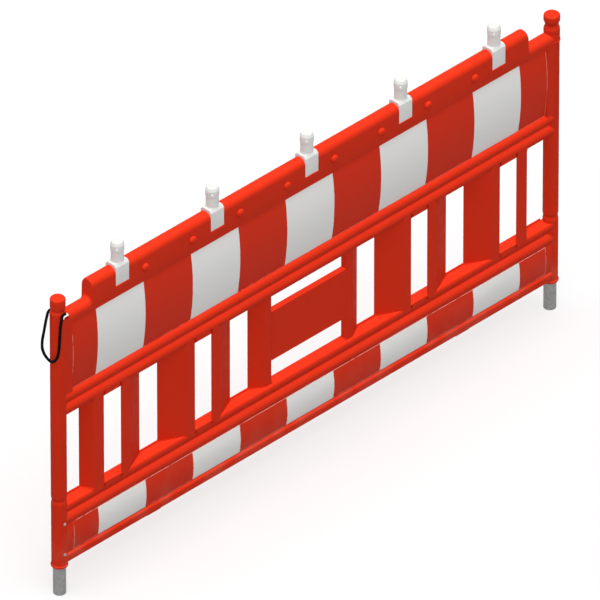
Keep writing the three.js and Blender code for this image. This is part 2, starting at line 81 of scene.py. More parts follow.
BOARD = "board"
POST_LOW, POST_HIGH = box_mm("right_post")
HALF_SPAN = middle_x("right_post")
POST_RADIUS = 24.5              # of both posts, below the lip
RAIL_LOW, RAIL_HIGH = box_mm("top_rail")
FIELD_BOTTOM = box_mm("upper_board")[0].z
SHOULDER_TOP = box_mm("left_end_block")[1].z
LOWER_RAIL_TOP = box_mm("lower_rail")[1].z
TOE_LOW, TOE_HIGH = box_mm("toe_board")
BOTTOM_LOW, BOTTOM_HIGH = box_mm("bottom_rail")
GRIP_LOW, GRIP_HIGH = box_mm("grip_plate")
UPPER_FILM_LOW, UPPER_FILM_HIGH = box_mm("upper_film_front")
LOWER_FILM_LOW, LOWER_FILM_HIGH = box_mm("lower_film_front")
HALF_DEPTH = RAIL_HIGH.y

# ---- Camera: a long lens stands in for the parallel view -----------------------------------------
LENS = 1500
SENSOR_WIDTH = 36
FRAME_WIDTH = 1.8092            # what the picture spans at the object, in metres
VIEW_TARGET = Vector((-0.0285, 0, 0.5638))
VIEW_BACK = Vector((-1, -1, 1)).normalized()


def make_camera():
    data = bpy.data.cameras.new("camera")
    data.lens = LENS
    data.sensor_width = SENSOR_WIDTH
    distance = FRAME_WIDTH * LENS / SENSOR_WIDTH
    camera = add(bpy.data.objects.new("camera", data))
    camera.location = VIEW_TARGET + VIEW_BACK * distance
    camera.rotation_mode = "QUATERNION"
    camera.rotation_quaternion = (-VIEW_BACK).to_track_quat("-Z", "Y")
    data.clip_start = 1
    data.clip_end = 2 * distance
    bpy.context.scene.camera = camera


make_camera()

# ---- Shader helpers ------------------------------------------------------------------------------


class Shader:
    """A node material under construction. Inputs are constants or sockets of other nodes."""

    def __init__(self, name):
        self.material = bpy.data.materials.new(name)
        self.material.use_nodes = True
        self.tree = self.material.node_tree
        self.tree.nodes.clear()
        self.place = self.node("TexCoord").outputs["Object"]
        self.surface = self.node("BsdfPrincipled")
        output = self.node("OutputMaterial")
        self.tree.links.new(self.surface.outputs[0], output.inputs["Surface"])

    def node(self, kind, inputs=None, **settings):
        made = self.tree.nodes.new("ShaderNode" + kind)
        for key, value in settings.items():
            setattr(made, key, value)
        for key, value in (inputs or {}).items():
            self.set(made.inputs[key], value)
        return made

    def set(self, socket, value):
        if isinstance(value, bpy.types.NodeSocket):
            self.tree.links.new(value, socket)
        else:
            socket.default_value = value

    def math(self, operation, *values):
        made = self.node("Math", operation=operation)
        for socket, value in zip(made.inputs, values):
            self.set(socket, value)
        return made.outputs[0]

    def vector(self, operation, *values):
        made = self.node("VectorMath", operation=operation)
        for socket, value in zip(made.inputs, values):
            self.set(socket, value)
        return made.outputs["Value" if operation in ("LENGTH", "DOT_PRODUCT") else "Vector"]

    def noise(self, scale, detail=2.0, stretch=(1, 1, 1), roughness=0.5):
        place = self.vector("MULTIPLY", self.place, stretch)
        made = self.node("TexNoise", {"Vector": place, "Scale": scale, "Detail": detail,
                                      "Roughness": roughness})
        return made.outputs["Fac"]

    def ramp(self, value, low, high, to_low=0.0, to_high=1.0):
        made = self.node("MapRange", {"Value": value, "From Min": low, "From Max": high,
                                      "To Min": to_low, "To Max": to_high}, interpolation_type="SMOOTHSTEP")
        return made.outputs["Result"]

    def mix(self, factor, a, b):
        made = self.node("Mix", data_type="RGBA")
        for index, value in ((0, factor), (6, a), (7, b)):
            self.set(made.inputs[index], (*value, 1) if isinstance(value, tuple) else value)
        return made.outputs[2]

    def axis(self, name):
        return self.node("SeparateXYZ", {0: self.place}).outputs[name]

    def bump(self, height, distance, normal=None):
        made = self.node("Bump", {"Height": height, "Distance": distance, "Strength": 1.0})
        if normal is not None:
            self.set(made.inputs["Normal"], normal)
        return made.outputs[0]

    def finish(self, color, roughness, normal, **others):
        self.set(self.surface.inputs["Base Color"], color)
        self.set(self.surface.inputs["Roughness"], roughness)
        self.set(self.surface.inputs["Normal"], normal)
        for key, value in others.items():
            self.set(self.surface.inputs[key.replace("_", " ")], value)
        return self.material


# ---- Materials -----------------------------------------------------------------------------------
DUST = (0.42, 0.33, 0.25)
WORN_RED = (0.68, 0.075, 0.045)
SHEEN = {"Specular_IOR_Level": 0.03}    # a dull, weathered surface


def dusty(shader, color, top, most):
    """Road dust that thins out upwards, in patches."""
    height = shader.ramp(shader.axis("Z"), 0.0, top, most, 0.0)
    patches = shader.ramp(shader.noise(14, 5), 0.38, 0.72)
    return shader.mix(shader.math("MULTIPLY", height, patches), color, DUST)


def scuffs(shader):
    """Short scratches along the board and a few blotches, from 0 to 1."""
    lines = shader.ramp(shader.noise(30, 4, (0.5, 3, 9)), 0.66, 0.74)
    blotches = shader.ramp(shader.noise(22, 3), 0.62, 0.8)
    return shader.math("MULTIPLY", lines, shader.math("ADD", shader.math("MULTIPLY", blotches, 0.7), 0.3))


def moulded_normal(shader, waviness=0.0012, grain=0.00006):
    """The slow waves of a blow-moulded wall under a fine erosion grain."""
    waves = shader.bump(shader.noise(7, 1), waviness)
    return shader.bump(shader.noise(1100, 2), grain, waves)


def moulded_red():
    shader = Shader("moulded_red")
    patches = shader.ramp(shader.noise(3.2, 4), 0.35, 0.7)
    body = shader.mix(patches, (0.605, 0.0285, 0.0085), (0.58, 0.0262, 0.0078))
    worn = scuffs(shader)
    color = shader.mix(shader.math("MULTIPLY", worn, 0.28), body, WORN_RED)
    color = dusty(shader, color, 0.32, 0.16)
    roughness = shader.ramp(shader.noise(40, 3), 0.3, 0.75, 0.46, 0.6)
    return shader.finish(color, roughness, moulded_normal(shader), **SHEEN)


def turned_red():
    """The posts, sleeves, cap and knob: the same plastic with faint rings round the axis."""
    shader = Shader("turned_red")
    patches = shader.ramp(shader.noise(5, 4), 0.35, 0.7)
    body = shader.mix(patches, (0.6, 0.0282, 0.0084), (0.57, 0.026, 0.0076))
    worn = shader.ramp(shader.noise(26, 4, (3, 3, 0.6)), 0.66, 0.78)
    color = shader.mix(shader.math("MULTIPLY", worn, 0.2), body, WORN_RED)
    color = dusty(shader, color, 0.3, 0.2)
    roughness = shader.ramp(shader.noise(60, 3, (1, 1, 3)), 0.3, 0.75, 0.44, 0.58)
    return shader.finish(color, roughness, moulded_normal(shader, 0.0006), **SHEEN)


FIELD_SHIFT = 0.005             # the printed fields sit this far to the left
FIELD_PITCH = 0.4
FIELD_HALF_WIDTH = 0.1
PRINT_BLUR = 0.0002             # how soft the printed edge between two fields is
CELL = 0.0042                   # pitch of the film's honeycomb
OUTLINE = 0.0016                # pale cut edge of the film
WHITE_FILM = (0.775, 0.775, 0.757)
RED_FILM = (0.6, 0.0285, 0.0088)
CUT_EDGE = (0.8, 0.42, 0.36)


def honeycomb(shader, x, z):
    """The distance to the nearest centre of a hexagonal lattice, from two rectangular ones."""
    flat = shader.node("CombineXYZ", {"X": x, "Y": shader.math("DIVIDE", z, math.sqrt(3))}).outputs[0]
    half = CELL / 2
    distances = []
    for shift in (0, half):
        shifted = shader.vector("ADD", flat, (shift, shift, 0))
        wrapped = shader.vector("WRAP", shifted, (half, half, 1), (-half, -half, -1))
        distances.append(shader.vector("LENGTH", shader.vector("MULTIPLY", (1, math.sqrt(3), 0), wrapped)))
    return shader.math("MINIMUM", *distances)


def printed_film(strip, low, high):
    """Red and white fields on a beaded film with a honeycomb of seals and a pale cut edge."""
    shader = Shader(f"printed_film_{strip}")
    x, z = shader.axis("X"), shader.axis("Z")
    along = shader.math("ADD", x, FIELD_SHIFT)
    across = shader.math("ABSOLUTE", shader.math("WRAP", along, -FIELD_PITCH / 2, FIELD_PITCH / 2))
    white = shader.ramp(across, FIELD_HALF_WIDTH + PRINT_BLUR, FIELD_HALF_WIDTH - PRINT_BLUR)
    cells = shader.ramp(honeycomb(shader, x, z), 0.44 * CELL, 0.52 * CELL)
    seals = shader.mix(white, (0.53, 0.0235, 0.0075), (0.65, 0.65, 0.635))
    beads = shader.mix(white, RED_FILM, WHITE_FILM)
    color = shader.mix(shader.math("MULTIPLY", cells, 0.6), beads, seals)
    color = shader.mix(shader.math("MULTIPLY", scuffs(shader), 0.14), color, (0.45, 0.3, 0.26))
    edge_x = shader.math("SUBTRACT", high.x * MM, shader.math("ABSOLUTE", x))
    below_top = shader.math("SUBTRACT", high.z * MM, z)
    above_foot = shader.math("SUBTRACT", z, low.z * MM)
    edge_z = shader.math("MINIMUM", below_top, above_foot)
    edge = shader.ramp(shader.math("MINIMUM", edge_x, edge_z), OUTLINE, OUTLINE * 0.6)
    broken = shader.ramp(shader.noise(45, 3), 0.36, 0.5, 0.15, 0.9)
    color = shader.mix(shader.math("MULTIPLY", edge, broken), color, CUT_EDGE)
    color = dusty(shader, color, 0.34, 0.12)
    roughness = shader.ramp(shader.noise(35, 3), 0.3, 0.75, 0.3, 0.42)
    normal = shader.bump(cells, -0.00006, shader.bump(shader.noise(9, 1), 0.0006))
    return shader.finish(color, roughness, normal, Specular_IOR_Level=0.04)


def grey_plastic():
    shader = Shader("light_grey_plastic")
    body = shader.mix(shader.ramp(shader.noise(24, 4), 0.35, 0.7), (0.74, 0.74, 0.725), (0.7, 0.7, 0.685))
    worn = shader.ramp(shader.noise(60, 4, (1, 1, 0.4)), 0.62, 0.75)
    worn_body = shader.mix(shader.math("MULTIPLY", worn, 0.3), body, (0.47, 0.46, 0.44))
    # Painted shade: faces turned upwards are darkened towards a duller grey, which holds down the brightness
    # the overhead light gives them.
    up_facing_shade = shader.node("SeparateXYZ", {0: shader.node("NewGeometry").outputs["Normal"]}).outputs["Z"]
    color = shader.mix(shader.ramp(up_facing_shade, 0.1, 0.8, 0, 0.9), worn_body, (0.52, 0.52, 0.505))
    roughness = shader.ramp(shader.noise(80, 3), 0.3, 0.75, 0.42, 0.58)
    return shader.finish(color, roughness, moulded_normal(shader, 0.0002), Specular_IOR_Level=0.25)


def galvanised_steel():
    """Zinc spangle with a dull white bloom towards the ground."""
    shader = Shader("galvanised_steel")
    place = shader.vector("MULTIPLY", shader.place, (1, 1, 0.7))
    spangle = shader.node("TexVoronoi", {"Vector": place, "Scale": 170.0}).outputs["Color"]
    grade = shader.node("SeparateColor", {0: spangle}).outputs[0]
    body = shader.mix(grade, (0.3, 0.303, 0.305), (0.4, 0.402, 0.402))
    bloom = shader.ramp(shader.noise(50, 4), 0.5, 0.8, 0, 0.5)
    color = dusty(shader, shader.mix(bloom, body, (0.36, 0.355, 0.345)), 0.08, 0.4)
    roughness = shader.math("ADD", shader.math("MULTIPLY", grade, 0.14), 0.42)
    return shader.finish(color, roughness, shader.bump(shader.noise(300, 3), 0.00008), Metallic=0.35)


STRANDS_AROUND = 8


def braided_cord():
    """Black polyester braid: two families of strands across each other."""
    shader = Shader("braided_cord")
    uv = shader.node("TexCoord").outputs["UV"]
    around, along = shader.node("SeparateXYZ", {0: uv}).outputs[:2]
    waves = []
    for direction in (1, -1):
        turn = shader.math("ADD", shader.math("MULTIPLY", around, STRANDS_AROUND * direction), along)
        waves.append(shader.math("SINE", shader.math("MULTIPLY", turn, 2 * math.pi)))
    strands = shader.ramp(shader.math("MULTIPLY", *waves), -0.6, 0.9)
    fuzz = shader.noise(900, 4)
    color = shader.mix(shader.math("MULTIPLY", strands, fuzz), (0.003, 0.003, 0.0033), (0.014, 0.014, 0.0145))
    roughness = shader.ramp(fuzz, 0.3, 0.7, 0.75, 0.95)
    normal = shader.bump(strands, 0.0004, shader.bump(fuzz, 0.00015))
    return shader.finish(color, roughness, normal, Specular_IOR_Level=0.05)


RED = moulded_red()
TURNED_RED = turned_red()
GREY = grey_plastic()
STEEL = galvanised_steel()

# ---- Mesh helpers: a shape is (corners in millimetres, faces) ------------------------------------


def solid(name, shape):
    """An object of the shape, with its faces turned outwards."""
    corners, faces = shape
    mesh = bpy.data.meshes.new(name)
    mesh.from_pydata([Vector(corner) * MM for corner in corners], [], faces)
    shell = bmesh.new()
    shell.from_mesh(mesh)
    bmesh.ops.recalc_face_normals(shell, faces=shell.faces)
    shell.to_mesh(mesh)
    shell.free()
    return add(bpy.data.objects.new(name, mesh))


def smooth(mesh, sharp):
    """Smooth shading, with an edge kept where two faces turn by more than sharp degrees."""
    mesh.polygons.foreach_set("use_smooth", [True] * len(mesh.polygons))
    mesh.set_sharp_from_angle(angle=math.radians(sharp))


def piece(name, shape, material, slot, replaced=(), body=BOARD, sharp=40, bevel=0.0):
    made = solid(name, shape)
    smooth(made.data, sharp)
    made.data.materials.append(material)
    if bevel:
        rounding = made.modifiers.new("rounding", "BEVEL")
        rounding.width = bevel * MM
        rounding.segments = 3
        rounding.limit_method = "ANGLE"
        rounding.angle_limit = math.radians(35)
        rounding.harden_normals = True
    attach(made, body)
    if replaced:
        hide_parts(*replaced)
    return made


def red_piece(name, shape, replaced=(), **finish):
    return piece(name, shape, RED, "red_plastic", replaced, **finish)


def turned_piece(name, profile, x, replaced, material=TURNED_RED, slot="red_plastic"):
    return piece(name, turned(profile, x), material, slot, [replaced], sharp=30)


def merge(*shapes):
    corners, faces = [], []
    for more_corners, more_faces in shapes:
        base = len(corners)
        corners += more_corners
        faces += [tuple(base + i for i in face) for face in more_faces]
    return corners, faces


def loft(rings):
    """Skin over rings of equal length, closed at both ends."""
    count = len(rings[0])
    corners = [corner for ring in rings for corner in ring]
    faces = []
    for i in range(len(rings) - 1):
        here, there = i * count, (i + 1) * count
        for j in range(count):
            k = (j + 1) % count
            faces.append((here + j, here + k, there + k, there + j))
    return corners, [*faces, tuple(range(count)), tuple(range(len(corners) - count, len(corners)))]


def along_x(outline, x0, x1):
    """An outline of (y, z) extruded along X."""
    return loft([[(x, y, z) for y, z in outline] for x in (x0, x1)])


def along_z(outline, z0, z1):
    """An outline of (x, y) extruded along Z."""
    return loft([[(x, y, z) for x, y in outline] for z in (z0, z1)])


def block(x0, x1, y0, y1, z0, z1):
    return along_z([(x0, y0), (x1, y0), (x1, y1), (x0, y1)], z0, z1)


def round_steps(segments):
    """The cosine and sine of equal steps round a circle."""
    angles = [2 * math.pi * i / segments for i in range(segments)]
    return [(math.cos(a), math.sin(a)) for a in angles]


def turned(profile, x, segments=56):
    """A profile of (radius, z) turned about the upright axis at x."""
    steps = round_steps(segments)
    return loft([[(x + radius * c, radius * s, z) for c, s in steps] for radius, z in profile])


def on_face(profile, x, z, face, side, segments=32):
    """A profile of (radius, height) turned about an axis that leaves the front or back."""
    steps = round_steps(segments)
    return loft([[(x + radius * c, side * (face + height), z + radius * s) for c, s in steps]
                 for radius, height in profile])


def arc(center, radius, start, end, steps):
    angles = [math.radians(start + (end - start) * i / steps) for i in range(steps + 1)]
    return [(center[0] + radius * math.cos(a), center[1] + radius * math.sin(a)) for a in angles]


def fillet(corners, closed=False, steps=5):
    """The line through corners (a, b, radius), with each corner rounded by its radius."""
    line = []
    for i, (a, b, radius) in enumerate(corners):
        here = Vector((a, b))
        at_end = not closed and i in (0, len(corners) - 1)
        if radius == 0 or at_end:
            line.append((a, b))
            continue
        before = Vector(corners[i - 1][:2]) - here
        after = Vector(corners[(i + 1) % len(corners)][:2]) - here
        half_turn = before.angle(after) / 2
        reach = min(radius / math.tan(half_turn), 0.49 * before.length, 0.49 * after.length)
        before.normalize()
        after.normalize()
        center = here + (before + after).normalized() * (reach / math.cos(half_turn))
        start, end = here + before * reach - center, here + after * reach - center
        sweep = start.angle(end)
        for k in range(steps + 1):
            t = k / steps
            point = center + (start * math.sin((1 - t) * sweep) + end * math.sin(t * sweep)) / math.sin(sweep)
            line.append((point.x, point.y))
    return line


def evenly(low, high, steps):
    return [low + (high - low) * i / steps for i in range(steps + 1)]


def both_faces(half):
    """A closed outline of (y, z) from its half on the positive side, low to high."""
    return [*half, *((-y, z) for y, z in reversed(half))]


# ---- Coupling cord: out of the eye, down the front of the post, round it and back in behind ------
CORD_RADIUS = 4.5
CORD_ROUTE = [                  # x from the left post
    (30.6, -0.4, 1008.2), (26.6, -4.4, 1012.2), (20.6, -10.4, 1018.2), (14.6, -16.4, 1024.2),
    (8.6, -22.4, 1030.2), (3.6, -27.6, 1035), (-1, -30.2, 1038), (-5.7, -30.3, 1038), (-9, -28.9, 1033.5),
    (-10.4, -28.3, 1026), (-12.6, -27.2, 1009), (-15, -26, 988.2), (-16.1, -25.2, 963.8),
    (-17, -24.6, 941), (-18.4, -23.6, 916.5), (-20.9, -21.6, 893.1), (-25.1, -17.9, 879.4),
    (-29.3, -10.8, 868.7), (-32.5, -1.5, 867.5), (-34.9, 8.1, 872.7), (-37.8, 17.3, 883.7),
    (-40.6, 22.9, 898.9), (-41.6, 24.7, 912.3), (-41.2, 24.9, 928.9), (-39.2, 24.3, 945.7),
    (-36, 23.2, 962.8), (-32, 22.6, 982), (-28, 21.6, 1003), (-23.2, 22, 1017), (-16, 25.6, 1024),
    (-6, 29.4, 1025.5), (4, 29.9, 1023.5), (14, 29.7, 1019), (24, 29.2, 1013.5), (33, 29.5, 1008.5),
    (39.5, 27.3, 1005), (43, 21, 1002.6), (44.5, 10.5, 1001.6)]
CORD_SIDES = 16
CORD_STEP = 1.2
SPLINE_STEPS = 16
WEAVE = 0.05                    # how far the strands stand out, as a share of the radius


def smooth_route(points, step):
    """Catmull-Rom through the points, then a point every step."""
    knots = [Vector(p) for p in points]
    knots = [knots[0] * 2 - knots[1], *knots, knots[-1] * 2 - knots[-2]]
    fine = []
    for a, b, c, d in zip(knots, knots[1:], knots[2:], knots[3:]):
        for k in range(SPLINE_STEPS):
            t = k / SPLINE_STEPS
            fine.append(0.5 * (2 * b + (c - a) * t + (2 * a - 5 * b + 4 * c - d) * t ** 2
                               + (3 * b - a - 3 * c + d) * t ** 3))
    fine.append(knots[-2])
    route = [fine[0]]
    for point in fine[1:]:
        if (point - route[-1]).length >= step:
            route.append(point)
    return route


def make_cord():
    route = smooth_route([(x - HALF_SPAN, y, z) for x, y, z in CORD_ROUTE], CORD_STEP)
    side = Vector((0, 0, 1)).cross(route[1] - route[0]).normalized()
    rings = []
    for i, center in enumerate(route):
        along = (route[min(i + 1, len(route) - 1)] - route[max(i - 1, 0)]).normalized()
        side = (side - along * side.dot(along)).normalized()
        other = along.cross(side)
        turn = i * CORD_STEP / (2 * CORD_RADIUS)
        ring = []
        for j in range(CORD_SIDES):
            angle = 2 * math.pi * j / CORD_SIDES
            crossing = STRANDS_AROUND / 2 * angle
            weave = math.sin(crossing + turn) * math.sin(crossing - turn)
            radius = CORD_RADIUS * (0.97 + WEAVE * weave)
            ring.append(center + (side * math.cos(angle) + other * math.sin(angle)) * radius)
        rings.append(ring)
    made = piece("coupling_cord_braid", loft(rings), braided_cord(), "black_cord", ["coupling_cord"],
                 sharp=70)
    around = made.data.uv_layers.new(name="around")
    for loop in made.data.loops:
        ring, j = divmod(loop.vertex_index, CORD_SIDES)
        around.data[loop.index].uv = (j / CORD_SIDES, ring * CORD_STEP / (2 * math.pi * CORD_RADIUS))


make_cord()

# ---- Upper moulding: shoulders, board and top rail in one skin -----------------------------------
FIELD_TOP = 983
SHELF = FIELD_TOP + 2
FIELD_FOOT_DEPTH = 10
FIELD_EDGE_DEPTH = 13
FIELD_BULGE = HALF_DEPTH - 1 - (FIELD_FOOT_DEPTH + FIELD_EDGE_DEPTH) / 2
FIELD_ROWS = 24
NOTCH_DEPTH = 5
NOTCH_HALF_WIDTH = 28.5
NOTCH_FOOT = RAIL_LOW.z
NOTCH_STEP = 0.5                # the notch's side wall leans by this much
ADAPTER_XS = [middle_x(f"lamp_adapter_{i}") for i in range(1, 6)]
STILE_X = HALF_SPAN - 40        # where the full-depth strip beside the post ends
RAIL_END_X = -RAIL_LOW.x
RAIL_LEVEL_X = 850              # the rail is level from here inwards


def field_depth(z):
    t = (z - FIELD_BOTTOM) / (FIELD_TOP - FIELD_BOTTOM)
    chord = FIELD_FOOT_DEPTH + (FIELD_EDGE_DEPTH - FIELD_FOOT_DEPTH) * t
    return chord + FIELD_BULGE * 4 * t * (1 - t)


def upper_ring(x, crest, field, notch):
    """The outline at x. field fades the striped field in, and notch the seat of an adapter."""
    half = [(HALF_DEPTH + (field_depth(z) - HALF_DEPTH) * field, z)
            for z in evenly(FIELD_BOTTOM, FIELD_TOP, FIELD_ROWS)]
    half += [(HALF_DEPTH - 1.2 * field, SHELF - 0.7), (HALF_DEPTH - 0.3 * field, SHELF - 0.1),
             (HALF_DEPTH, SHELF + 1)]
    radius = HALF_DEPTH - NOTCH_DEPTH * notch
    side_top = min(NOTCH_FOOT, crest - HALF_DEPTH)
    half += [(HALF_DEPTH, side_top - 0.6), (radius, side_top)]
    half += arc((0, crest - HALF_DEPTH), radius, 0, 90, 14)
    return [(x, y, z) for y, z in both_faces(half)]


def upper_moulding():
    crest_line = fillet([(-HALF_SPAN, SHOULDER_TOP, 0), (-RAIL_END_X - 1.5, SHOULDER_TOP, 13),
                         (-RAIL_END_X + 0.5, RAIL_HIGH.z, 6), (0, RAIL_HIGH.z, 0)], steps=8)[:-1]
    stations = [(x, crest, 0 if x < -STILE_X else 1, 0) for x, crest in crest_line]
    stations[1:1] = [(-STILE_X - 1.5, SHOULDER_TOP, 0, 0), (-STILE_X, SHOULDER_TOP, 0.93, 0),
                     (-STILE_X + 1.5, SHOULDER_TOP, 1, 0)]
    for center in ADAPTER_XS:
        for edge, notch in ((-1, 0), (-1, 1), (1, 1), (1, 0)):
            reach = NOTCH_HALF_WIDTH + (NOTCH_STEP if notch == 0 else 0)
            stations.append((center + edge * reach, RAIL_HIGH.z, 1, notch))
    left = [s for s in stations if s[0] < -RAIL_LEVEL_X]
    middle = [s for s in stations if s[0] >= -RAIL_LEVEL_X]
    right = [(-x, crest, field, notch) for x, crest, field, notch in reversed(left)]
    return loft([upper_ring(*station) for station in [*left, *middle, *right]])


upper = red_piece("upper_moulding", upper_moulding(),
                  ["upper_board", "top_rail", "left_end_block", "right_end_block"], sharp=35)

# ---- Rails: lofts of half-round ridges -----------------------------------------------------------
RIDGE_STEPS = 22
RIDGE_RADIUS = 20.5
LOWER_RIDGE_RADIUS = 22
GROOVE_ANGLE = 68
RIDGE_LOW_RADIUS = 22.5
RIDGE_LOW_Z, RIDGE_HIGH_Z = 669.5, 713.5
LOWER_RIDGE_Z, LEDGE_RIDGE_Z = 267, 314.5
BOTTOM_ROUND = 11
LEDGE_Z = LOWER_RAIL_TOP - 4.5
BOTTOM_Z = BOTTOM_LOW.z + 9
TOE_EDGE_DEPTH, TOE_BULGE = 17, 5.5
TOE_ROWS = 12


def ridge(z, radius, start, end):
    return arc((HALF_DEPTH - radius, z), radius, start, end, RIDGE_STEPS)


def toe_depth(z):
    t = (z - TOE_LOW.z) / (TOE_HIGH.z - TOE_LOW.z)
    return TOE_EDGE_DEPTH + TOE_BULGE * 4 * t * (1 - t)


middle_half = [*ridge(RIDGE_LOW_Z, RIDGE_LOW_RADIUS, -62, GROOVE_ANGLE - 4),
               *ridge(RIDGE_HIGH_Z, RIDGE_RADIUS, -GROOVE_ANGLE, 68)]
round_center = HALF_DEPTH - BOTTOM_ROUND
bottom_half = [*arc((round_center, BOTTOM_Z + BOTTOM_ROUND), BOTTOM_ROUND, -90, 0, 8),
               *arc((round_center, BOTTOM_HIGH.z - BOTTOM_ROUND), BOTTOM_ROUND, 0, 62, 8)]
lower_half = [*bottom_half, *((toe_depth(z), z) for z in evenly(TOE_LOW.z, TOE_HIGH.z, TOE_ROWS)),
              *ridge(LOWER_RIDGE_Z, LOWER_RIDGE_RADIUS, -42, GROOVE_ANGLE),
              *ridge(LEDGE_RIDGE_Z, RIDGE_RADIUS, -GROOVE_ANGLE, 30),
              *arc((HALF_DEPTH - 6.6, LEDGE_Z - 3.6), 3.6, 35, 90, 4)]


def between_posts(half):
    return along_x(both_faces(half), -HALF_SPAN, HALF_SPAN)


# Slots of the left half as (start, end, face that carries their lips), x from the left post
SLOTS = [(26, 103, 1), (169, 243, -1), (359, 433, 1), (553, 625, -1), (743, 816, 1)]
SLAT_WALL = 5
SLAT_TOP_Z, SLAT_FOOT_Z = 655, LEDGE_Z
LIP_HEIGHT = 4.5
LIP_RUN_ON = 2                  # the lips run on into the slat walls
LUG_X, LUG_HALF_LENGTH = 660, 30
LUG_FOOT_DEPTH, LUG_ROOT_DEPTH = 10, 14
LUG_EDGE = 2


def slot_lips(z0, z1):
    """The thin lips along one side of every slot, flush with the face."""
    lips = []
    for start, end, face in SLOTS:
        y0, y1 = sorted((face * HALF_DEPTH, face * (HALF_DEPTH - SLAT_WALL)))
        for side in (-1, 1):
            outer, inner = HALF_SPAN - start + LIP_RUN_ON, HALF_SPAN - end - LIP_RUN_ON
            x0, x1 = sorted((side * outer, side * inner))
            lips.append(block(x0, x1, y0, y1, z0, z1))
    return lips


def stacking_lug(x):
    """A low block under the bottom rail, with its ends drawn in."""
    root = BOTTOM_Z + 3
    outline = fillet([(LUG_FOOT_DEPTH, BOTTOM_LOW.z, LUG_EDGE), (LUG_ROOT_DEPTH, root, 0),
                      (-LUG_ROOT_DEPTH, root, 0), (-LUG_FOOT_DEPTH, BOTTOM_LOW.z, LUG_EDGE)], True)
    end, start_of_edge = LUG_HALF_LENGTH, LUG_HALF_LENGTH - LUG_EDGE
    return loft([[(x + offset, y * grow, BOTTOM_Z + (z - BOTTOM_Z) * grow) for y, z in outline]
                 for offset, grow in ((-end, 0.9), (-start_of_edge, 1), (start_of_edge, 1), (end, 0.9))])


red_piece("middle_rail_moulding", between_posts(middle_half), ["middle_rail"])
red_piece("middle_slot_lips", merge(*slot_lips(SLAT_TOP_Z - LIP_HEIGHT, RIDGE_LOW_Z)), bevel=1.2)
red_piece("lower_moulding", merge(between_posts(lower_half), stacking_lug(-LUG_X), stacking_lug(LUG_X)),
          ["lower_rail", "toe_board", "bottom_rail"], sharp=48)
red_piece("lower_slot_lips", merge(*slot_lips(LEDGE_RIDGE_Z, SLAT_FOOT_Z + LIP_HEIGHT)), bevel=1.2)

# ---- Slats: corrugated walls between the rails, each flush with the crests of the ridges ---------
LAND = HALF_DEPTH - SLAT_WALL / 2
BAR_LAND = 8
BAR_INNER = 890.5
SLAT_LINES = {                  # bends as (x from the left post, y)
    "outer_slat": [(105, LAND), (127, -LAND), (169, -LAND)],
    "second_slat": [(243, -LAND), (274, -LAND), (357, LAND)],
    "third_slat": [(435, LAND), (520, -LAND), (553, -LAND)],
    "fourth_slat": [(625, -LAND), (656, -LAND), (741, LAND)],
    "centre_bar": [(818, LAND), (864, -BAR_LAND), (BAR_INNER, -BAR_LAND), (BAR_INNER, 11)],
}
FLARE = 7                       # the walls widen this much where they meet a rail
FLARE_STEPS = 6
END_ROUND = 1.6
INNER_BEND, OUTER_BEND = 2.5, 7


def wall_outline(line, thickness):
    """A closed outline round an open line, with rounded bends and ends."""
    offsets = {1: [], -1: []}
    for i, point in enumerate(line):
        here = Vector(point)
        into = (here - Vector(line[i - 1])).normalized() if i else None
        out = (Vector(line[i + 1]) - here).normalized() if i + 1 < len(line) else None
        first = into or out
        second = out or into
        along = (first + second).normalized()
        normal = Vector((-along.y, along.x))
        reach = thickness / 2 / normal.dot(Vector((-second.y, second.x)))
        turn = first.cross(second)
        for side in offsets:
            bend_radius = INNER_BEND if turn * side > 0 else OUTER_BEND
            offsets[side].append((*(here + normal * reach * side), bend_radius if turn else END_ROUND))
    return fillet([*offsets[-1], *reversed(offsets[1])], True, 5)


def slat_shape(outline):
    """The wall, with its two ends flaring into the rails."""
    low, high = min(x for x, _ in outline), max(x for x, _ in outline)
    middle = (low + high) / 2
    flares = [(FLARE * t / FLARE_STEPS, (1 - t / FLARE_STEPS) ** 2) for t in range(FLARE_STEPS + 1)]
    levels = [(LEDGE_RIDGE_Z, 1), *((SLAT_FOOT_Z + rise, flare) for rise, flare in flares),
              ((SLAT_FOOT_Z + SLAT_TOP_Z) / 2, 0),
              *((SLAT_TOP_Z - drop, flare) for drop, flare in reversed(flares)), (RIDGE_LOW_Z, 1)]
    half_width = (high - low) / 2
    return loft([[(middle + (x - middle) * (1 + FLARE * flare / half_width), y, z) for x, y in outline]
                 for z, flare in levels])


for slat, line in SLAT_LINES.items():
    outline = wall_outline([(x - HALF_SPAN, y) for x, y in line], SLAT_WALL)
    for label, mirror in (("left", 1), ("right", -1)):
        name = f"{label}_{slat}"
        wall = slat_shape([(mirror * x, y) for x, y in outline])
        red_piece(name + "_wall", wall, [name], sharp=50)

GRIP_END = GRIP_HIGH.x + 3      # the plate runs on into the walls of the bars
grip_plate = block(-GRIP_END, GRIP_END, GRIP_LOW.y, GRIP_HIGH.y, GRIP_LOW.z, GRIP_HIGH.z)
red_piece("grip_plate_moulding", grip_plate, ["grip_plate"], bevel=2.2)

